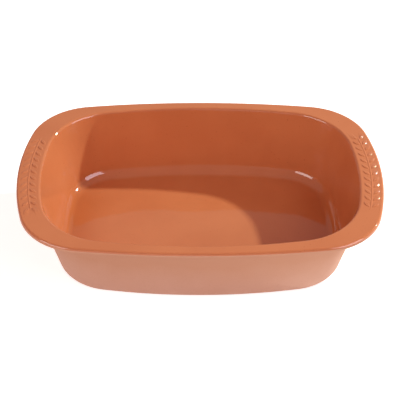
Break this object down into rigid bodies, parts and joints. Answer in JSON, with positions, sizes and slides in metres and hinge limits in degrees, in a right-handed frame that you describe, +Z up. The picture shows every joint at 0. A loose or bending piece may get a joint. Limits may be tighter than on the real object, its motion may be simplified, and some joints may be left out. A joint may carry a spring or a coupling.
{
  "type": "baking dish",
  "caption": "deep oblong clay baking dish with rounded corners, sloping walls and a flat rim that widens to a crescent handle at each end; glazed inside and on the rim, bare outside",
  "frame": {"origin": "middle of the flat underside, on the plane that the dish stands on", "axes": "+X runs from one handle to the other, +Y runs from the near long side to the far one, +Z is up, out of the open top"},
  "size_m": [0.4, 0.274, 0.0858],
  "materials": {
    "clay": "gloss glaze inside and on the rim, bare fired clay outside"
  },
  "bodies": {
    "root": {"baking_dish": "clay"}
  },
  "joints": []
}
